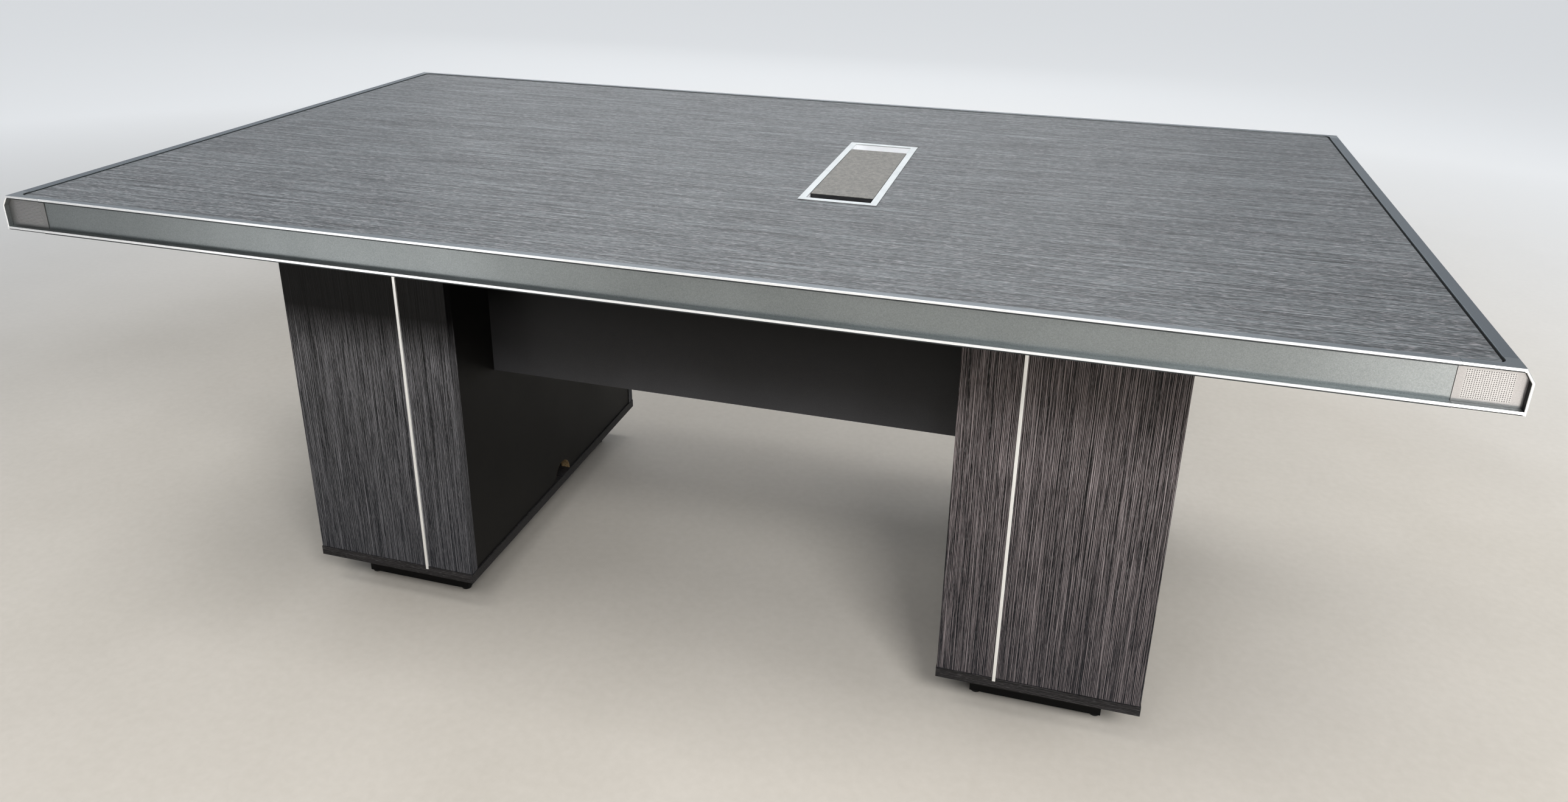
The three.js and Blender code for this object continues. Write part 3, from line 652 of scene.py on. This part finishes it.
edge_pieces = {}
for face in ("front", "back"):
    edge_pieces[f"edge_channel_{face}"] = channel_metal
    for side in ("left", "right"):
        edge_pieces[f"corner_casting_{face}_{side}"] = channel_metal
for node, material in edge_pieces.items():
    profile = clean_copy(node)
    groove_ledge(profile)
    pick(profile, "EDGE", lambda corner: abs(corner.y) > LIP_PLANE,
         spare=lambda corner: abs(abs(corner.x) - SEAM) < 0.002)
    bpy.ops.mesh.bevel(offset=LIP_ROUND, segments=4, affect="EDGES")
    soften(profile, 0.0002)
    stand_in(profile, node, material)
for side in ("left", "right"):
    profile = clean_copy(f"end_profile_{side}")
    soften(profile, 0.0006, 3)
    stand_in(profile, f"end_profile_{side}", end_metal)
    seal = clean_copy(f"gasket_{side}")
    soften(seal, 0.0004)
    stand_in(seal, f"gasket_{side}", gasket_rubber)
print("edge frame pieces:", len(edge_pieces) + 4)

# %% [markdown]
# ## Power box and inlay strips
#
# The frame of the power box, its tray and the sockets inside keep their measured
# shapes with crisp, small bevels. The inlay strips are drawn aluminium, so their
# front edges are rounder.

# %% Soften and dress the power box and strips
fittings = {
    "power_frame": (power_metal, 0.0003),
    "power_tray": (tray_paint, 0.0002),
    "socket_block": (black_plastic, 0.0008),
    "mains_socket_front": (socket_plastic, 0.0004),
    "mains_socket_middle": (socket_plastic, 0.0004),
    "data_plate": (white_plastic, 0.0003),
    "lid_pin_front": (pin_metal, 0.0002),
    "lid_pin_rear": (pin_metal, 0.0002),
}
for side in ("left", "right"):
    for face in ("front", "back"):
        fittings[f"leg_{side}_{face}_strip"] = (strip_metal, 0.0009)
        for end in ("inner", "outer"):
            fittings[f"leg_{side}_glide_{face}_{end}"] = (black_plastic, 0.0004)
for node, (material, width) in fittings.items():
    fitting = clean_copy(node)
    soften(fitting, width)
    stand_in(fitting, node, material)
lid = clean_copy("power_lid")
soften(lid, 0.0004)
stand_in(lid, "power_lid", coated_lid, body="lid")
print("fittings dressed:", len(fittings) + 1)

# %% [markdown]
# ## Contacts in the sockets
#
# With the lid up one looks straight into the sockets. Each round well has a sprung
# earth clip on either side, and each data port a row of eight gold wires. A clip is a
# thin upright strip whose middle is pushed inwards like a bow. A wire is a fine bar
# with its free end lifted; an Array modifier repeats it across the port.

# %% Model one earth clip and copy it to each side of each well
CLIP_SIZE = (0.0007, 0.0052, 0.0066)
CLIP_BOW = 0.0013


def settle(piece, name, material, move):
    """Put a finished small piece in its place, and let it ride on the table."""
    piece.name = name
    make_active(piece)
    piece.location = move
    bpy.ops.object.transform_apply(location=True, rotation=True, scale=True)
    piece.data.materials.append(material)
    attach(piece, "table")


def twin(piece):
    copy = bpy.data.objects.new(piece.name, piece.data.copy())
    bpy.context.scene.collection.objects.link(copy)
    return copy


clear_selection()
bpy.ops.mesh.primitive_cube_add(size=1, scale=CLIP_SIZE)
clip = bpy.context.object
bpy.ops.object.transform_apply(scale=True)
for level in (-0.25, 0.0, 0.25):
    bpy.ops.object.mode_set(mode="EDIT")
    bpy.ops.mesh.select_all(action="SELECT")
    bpy.ops.mesh.bisect(plane_co=(0, 0, level * CLIP_SIZE[2]), plane_no=(0, 0, 1))
    bow = CLIP_BOW if level == 0 else CLIP_BOW * 0.75
    pick(clip, "VERT", lambda corner: abs(corner.z - level * CLIP_SIZE[2]) < 1e-6)
    bpy.ops.transform.translate(value=(-bow, 0, 0))
    bpy.ops.object.mode_set(mode="OBJECT")
soften(clip, 0.00012)
for well in ("mains_socket_front", "mains_socket_middle"):
    low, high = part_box(well)
    middle = (low + high) / 2
    for label, turn_z in (("left", math.pi), ("right", 0.0)):
        spring = twin(clip)
        spring.rotation_euler = (0, 0, turn_z)
        reach = (WELL_RADIUS - 0.0007) * math.cos(turn_z)
        level = high.z - WELL_DEPTH + CLIP_SIZE[2] / 2 + 0.0001
        settle(spring, f"{well}_clip_{label}", pin_metal,
               (middle.x + reach, middle.y, level))
bpy.data.objects.remove(clip)
print("earth clips: 4")

# %% Model one contact wire and repeat it across both data ports
WIRE_SIZE = (0.0070, 0.00045, 0.00045)
WIRE_PITCH = 0.00110
PORT_OFFSET, PORT_DEPTH = 0.0100, 0.0050


def repeat(piece, count, step):
    make_active(piece)
    bpy.ops.object.modifier_add(type="ARRAY")
    rows = piece.modifiers[-1]
    rows.count = count
    rows.use_relative_offset = False
    rows.use_constant_offset = True
    rows.constant_offset_displace = step
    rows.use_merge_vertices = True
    rows.merge_threshold = 1e-5
    bpy.ops.object.modifier_apply(modifier=rows.name)


contact_gold = drawn("contact_gold", 0, "b58b3e", "dab567", 0.25, 1.0)
clear_selection()
bpy.ops.mesh.primitive_cube_add(size=1, scale=WIRE_SIZE)
wire = bpy.context.object
bpy.ops.object.transform_apply(scale=True)
pick(wire, "VERT", lambda corner: corner.x > 0)
bpy.ops.transform.translate(value=(-0.0006, 0, 0.0018))
bpy.ops.object.mode_set(mode="OBJECT")
soften(wire, 0.00008)
repeat(wire, 8, (0, WIRE_PITCH, 0))
low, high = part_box("data_plate")
middle = (low + high) / 2
for label, side in (("front", -1), ("rear", 1)):
    start = middle.y + side * PORT_OFFSET - 3.5 * WIRE_PITCH
    settle(twin(wire), f"data_port_{label}_contacts", contact_gold,
           (middle.x - 0.0025, start, high.z - PORT_DEPTH + 0.0004))
bpy.data.objects.remove(wire)
print("data ports: 2 of 8 contacts")

# %% [markdown]
# ## Screws under the top
#
# The battens under the rim are screwed to the panel from below, about a hand's width
# apart, and the heads stay in sight. A head is a short cylinder: its lower face is
# drawn in to a dome edge, drawn in again, pinched to a four-pointed star and sunk, which
# leaves a cross recess. One head is repeated along each batten.

# %% Model one screw head and repeat it along the battens
HEAD_RADIUS, HEAD_HEIGHT = 0.0042, 0.0009
SCREW_SPACING = 0.18

clear_selection()
bpy.ops.mesh.primitive_cylinder_add(vertices=16, radius=HEAD_RADIUS, depth=HEAD_HEIGHT)
head = bpy.context.object
pick(head, "FACE", lambda corner: corner.z < -HEAD_HEIGHT / 2 + 1e-6)
for scale, sink in ((0.80, -0.0004), (0.55, 0.0)):
    bpy.ops.mesh.extrude_region_move(TRANSFORM_OT_translate={"value": (0, 0, sink)})
    bpy.ops.transform.resize(value=(scale, scale, 1), center_override=(0, 0, 0))
star = HEAD_RADIUS * 0.80 * 0.55
recess = -HEAD_HEIGHT / 2 - 0.0004
pick(head, "VERT", lambda corner: corner.z < recess + 1e-6 and corner.xy.length < star * 1.01
     and max(abs(corner.x), abs(corner.y)) < star * 0.99)
bpy.ops.transform.resize(value=(0.45, 0.45, 1), center_override=(0, 0, 0))
pick(head, "FACE", lambda corner: corner.z < recess + 1e-6 and corner.xy.length < star * 1.01)
bpy.ops.mesh.extrude_region_move(TRANSFORM_OT_translate={"value": (0, 0, 0.0008)})
bpy.ops.transform.resize(value=(0.6, 0.6, 1), center_override=(0, 0, 0))
bpy.ops.object.mode_set(mode="OBJECT")
bpy.ops.object.shade_smooth_by_angle(angle=math.radians(30))
print("screw head:", len(head.data.polygons), "faces")

for batten in ("batten_front", "batten_back", "batten_left", "batten_right"):
    low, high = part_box(batten)
    middle, size = (low + high) / 2, high - low
    axis = 0 if size.x > size.y else 1
    count = int(size[axis] / SCREW_SPACING)
    step = Vector((0, 0, 0))
    step[axis] = size[axis] / count
    start = Vector((middle.x, middle.y, low.z - HEAD_HEIGHT / 2 + 0.0002))
    start[axis] = low[axis] + step[axis] / 2
    row = twin(head)
    repeat(row, count, step)
    settle(row, f"{batten}_screws", pin_metal, start)
    print(batten, "screws:", count)
bpy.data.objects.remove(head)

# %% [markdown]
# ## The punched grilles
#
# Each corner carries a plate with a field of small round holes, 21 across and 15 down.
# Cutting 315 holes with a boolean would be slow and leave a ragged mesh. Instead one
# square of the field is modelled: a ring is pushed back into a blind hole, and its rim
# is drawn out to the square's sides. Two Array modifiers repeat the square, and the
# rest of the plate's face is filled between its outline and the field's, with no gap.

# %% Model one square of the field
HOLE_PITCH = 0.00225
HOLE_RADIUS = 0.00060
HOLE_DEPTH = 0.00055
HOLE_COLUMNS, HOLE_ROWS = 21, 15

clear_selection()
bpy.ops.mesh.primitive_circle_add(vertices=8, radius=HOLE_RADIUS)
field = bpy.context.object
field.name = "hole_field"
bpy.ops.object.mode_set(mode="EDIT")
bpy.ops.mesh.select_mode(type="EDGE")
bpy.ops.mesh.select_all(action="SELECT")
bpy.ops.mesh.extrude_region_move(TRANSFORM_OT_translate={"value": (0, 0, -HOLE_DEPTH)})
bpy.ops.mesh.edge_face_add()
pick(field, "EDGE", lambda corner: corner.z > -1e-6)
rim = HOLE_PITCH / 2 / HOLE_RADIUS
bpy.ops.mesh.extrude_region_move(TRANSFORM_OT_translate={"value": (0, 0, 0)})
bpy.ops.transform.resize(value=(rim, rim, 1), center_override=(0, 0, 0))
pick(field, "VERT", lambda corner: min(abs(corner.x), abs(corner.y)) > HOLE_RADIUS)
bpy.ops.transform.resize(value=(math.sqrt(2), math.sqrt(2), 1), center_override=(0, 0, 0))
bpy.ops.object.mode_set(mode="OBJECT")
print("one square:", len(field.data.polygons), "faces,", round(field.dimensions.x * 1000, 3), "mm")

# %% Repeat it and stand it up in the plate's face
FIELD_CENTRE = (0.9615, 0.7335)

repeat(field, HOLE_COLUMNS, (HOLE_PITCH, 0, 0))
repeat(field, HOLE_ROWS, (0, HOLE_PITCH, 0))
grille_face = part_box("corner_grille_front_right")[0].y
field.rotation_euler = (math.pi / 2, 0, 0)
field.location = (FIELD_CENTRE[0] - (HOLE_COLUMNS - 1) / 2 * HOLE_PITCH, grille_face,
                  FIELD_CENTRE[1] - (HOLE_ROWS - 1) / 2 * HOLE_PITCH)
bpy.ops.object.transform_apply(location=True, rotation=True, scale=True)
print("field:", [round(v * 1000, 2) for v in field.dimensions], "mm")

# %% Mix the grille's metal
HOLE_FLOOR = abs(grille_face) - 0.00012
FIELD_HALF = (HOLE_COLUMNS / 2 * HOLE_PITCH, HOLE_ROWS / 2 * HOLE_PITCH)


def stamped():
    """The blasted metal, with a paler land between the holes as a painted highlight and darker hole floors as
    painted shade.
    """
    finish = Finish("grille_metal", Metallic=1.0)
    grit = finish.noise(finish.stretched(1500, 1500, 1500), 2.0)
    # Painted highlight on the land of the hole field, which is paler than the plate; painted shade on the hole
    # floors, which are darker and rougher.
    across = abs(abs(finish.x) - FIELD_CENTRE[0]) < FIELD_HALF[0]
    field_land = across * (abs(finish.z - FIELD_CENTRE[1]) < FIELD_HALF[1])
    inside = abs(finish.y) < HOLE_FLOOR
    plate = finish.mix(grit.between(0.3, 0.7), tone("949392"), tone("a5a3a2"))
    face = finish.mix(field_land, plate, tone("adacab"))
    finish.feed(Base_Color=finish.mix(inside, face, tone("7e7c7a")))
    finish.feed(Roughness=0.4 + 0.12 * (grit - 0.5) + 0.3 * inside)
    finish.bump(grit, 0.00003)
    return finish.material


grille_metal = stamped()
print("grille metal mixed, hole floors below", round(HOLE_FLOOR, 5))

# %% Close the field into the plate and copy it to the other corners
grille = clean_copy("corner_grille_front_right")
pick(grille, "FACE", lambda corner: abs(corner.y - grille_face) < 1e-6)
bpy.ops.mesh.delete(type="ONLY_FACE")
bpy.ops.object.mode_set(mode="OBJECT")
field.select_set(True)
bpy.ops.object.join()
bpy.ops.object.mode_set(mode="EDIT")
bpy.ops.mesh.select_mode(type="EDGE")
bpy.ops.mesh.select_all(action="DESELECT")
bpy.ops.mesh.select_non_manifold()
bpy.ops.mesh.fill(use_beauty=True)
bpy.ops.mesh.select_all(action="SELECT")
bpy.ops.mesh.normals_make_consistent(inside=False)
bpy.ops.object.mode_set(mode="OBJECT")
bpy.ops.object.shade_smooth_by_angle(angle=math.radians(30))

for face, turn_y in (("front", 1), ("back", -1)):
    for side, turn_x in (("right", 1), ("left", -1)):
        node = f"corner_grille_{face}_{side}"
        copy = bpy.data.objects.new(f"{node}_finished", grille.data.copy())
        bpy.context.scene.collection.objects.link(copy)
        copy.scale = (turn_x, turn_y, 1)
        make_active(copy)
        bpy.ops.object.transform_apply(scale=True)
        bpy.ops.object.mode_set(mode="EDIT")
        bpy.ops.mesh.select_all(action="SELECT")
        bpy.ops.mesh.normals_make_consistent(inside=False)
        bpy.ops.object.mode_set(mode="OBJECT")
        stand_in(copy, node, grille_metal)
print("grilles:", 4, "of", len(grille.data.polygons), "faces")
bpy.data.objects.remove(grille)

# %% [markdown]
# ## The floor
#
# The floor is one broad pale sheet: warm grey near the table, with the soft mottle of
# trowelled screed, and paler with distance, the way a floor runs up to light walls. A
# backdrop has to stand clear of a camera that walks round the table, so the far floor
# gets a little glow of its own, and the wall is a wide dome that only the camera sees.

# %% Lay the floor
clear_selection()
bpy.ops.mesh.primitive_plane_add(size=40)
floor = bpy.context.object
floor.name = "studio_floor"
paint = Finish("floor_paint", Roughness=0.75, Emission_Strength=1.0)
mottle = paint.noise(paint.stretched(1.5, 1.5, 1.5), 5.0, 0.6)
fine = paint.noise(paint.stretched(70, 70, 70), 3.0)
share = (mottle * 0.7 + fine * 0.3).between(0.3, 0.7)
near = paint.mix(share, tone("c1bbb1"), tone("cfc9c0"))
distance = (paint.x * paint.x + paint.y * paint.y).power(0.5)
away = distance.between(1.5, 5.0)
glowing = (distance + 0.45 * paint.y).between(2.1, 6.2)
paint.feed(Base_Color=paint.mix(away, near, tone("e2e3e4")))
paint.feed(Emission_Color=paint.mix(glowing, tone("000000"), tone("b4b6b8")))
floor.data.materials.append(paint.material)
print("floor laid:", floor.dimensions.x, "m wide")

# %% Raise the far wall of the room
ROOM_RADIUS = 17.0

clear_selection()
bpy.ops.mesh.primitive_uv_sphere_add(segments=48, ring_count=24, radius=ROOM_RADIUS)
room = bpy.context.object
room.name = "far_wall"
bpy.ops.object.mode_set(mode="EDIT")
bpy.ops.mesh.bisect(plane_co=(0, 0, -0.05), plane_no=(0, 0, 1), clear_inner=True)
bpy.ops.mesh.select_all(action="SELECT")
bpy.ops.mesh.normals_make_consistent(inside=True)
bpy.ops.object.mode_set(mode="OBJECT")
bpy.ops.object.shade_smooth()
plaster = Finish("wall_plaster", Roughness=0.9, Base_Color=tone("000000"), Emission_Strength=1.0)
haze = plaster.z.between(0.0, 9.0)
plaster.feed(Emission_Color=plaster.mix(haze, tone("e3e5e8"), tone("f0f2f4")))
room.data.materials.append(plaster.material)
room.visible_diffuse = room.visible_glossy = room.visible_shadow = False
print("far wall:", len(room.data.polygons), "faces")

# %% [markdown]
# ## The light
#
# The picture is lit from a ceiling with several soft panels, the strongest to the
# front right, and by a pale wall behind the table that the top mirrors at a low angle.
# Each panel is an area lamp. The wall is the surround itself: it is bright towards
# +Y and fades to a faint grey at the front, which keeps the shade under the table.

# %% Hang the ceiling panels
def soft_panel(name, place, target, size, watts, tint=(1.0, 1.0, 1.0), spread=180):
    lamp = bpy.data.lights.new(name, "AREA")
    lamp.shape = "RECTANGLE"
    lamp.size, lamp.size_y = size
    lamp.energy = watts
    lamp.color = tint
    lamp.spread = math.radians(spread)
    panel = bpy.data.objects.new(name, lamp)
    bpy.context.scene.collection.objects.link(panel)
    panel.location = place
    aim = Vector(target) - Vector(place)
    panel.rotation_euler = aim.to_track_quat("-Z", "Y").to_euler()
    panel.visible_camera = False
    return panel


panels = [
    soft_panel("over_back", (0.0, 1.3, 2.7), (0.0, 1.3, 0.0), (2.4, 0.8), 32),
    soft_panel("over_front_left", (-0.9, -1.1, 2.7), (-0.9, -1.1, 0.0), (1.2, 1.2), 27),
    soft_panel("over_front_right", (0.9, -1.1, 2.7), (0.9, -1.1, 0.0), (1.2, 1.2), 10),
    soft_panel("front_middle", (0.0, -2.9, 2.9), (0.0, -2.0, 0.0), (1.6, 1.0), 37),
    soft_panel("front_right", (1.9, -2.9, 2.9), (1.2, -1.6, 0.0), (1.4, 1.0), 96),
    soft_panel("side_right", (4.2, 0.2, 1.7), (0.0, 0.0, 0.5), (2.2, 1.8), 66),
    soft_panel("low_card", (1.38, -1.6, 0.28), (0.95, -0.54, 0.73), (0.30, 0.30), 0.16, (1.0, 0.94, 0.89), 50),
    soft_panel("left_card", (-1.27, -1.75, 0.22), (-0.50, -0.54, 0.73), (0.70, 0.40), 0.16, spread=50),
    soft_panel("wall_behind", (-1.6, 5.5, 2.1), (-1.6, 0.0, 1.2), (5.4, 2.2), 14),
]
panels[5].visible_glossy = False
print("panels:", [(panel.name, panel.data.energy) for panel in panels])

# %% Brighten the surround behind the table
world = bpy.data.worlds.new("pale_room")
world.use_nodes = True
surround = Network(world.node_tree, "Background")
direction = surround.add("ShaderNodeTexCoord", {}, {}, every=True)[0]
across, along, upwards = surround.add("ShaderNodeSeparateXYZ", {}, {"Vector": direction}, every=True)
backwards = along * 0.92 - across * 0.40
room_tones = [(0.0, (0.06, 0.06, 0.06, 1.0)), (1.0, (0.88, 0.93, 0.99, 1.0))]
surround.feed(Color=surround.add("ShaderNodeValToRGB", {"stops": room_tones}, {"Fac": backwards}))
bpy.context.scene.world = world
bpy.context.scene.view_settings.view_transform = "Standard"
print("surround:", world.name)
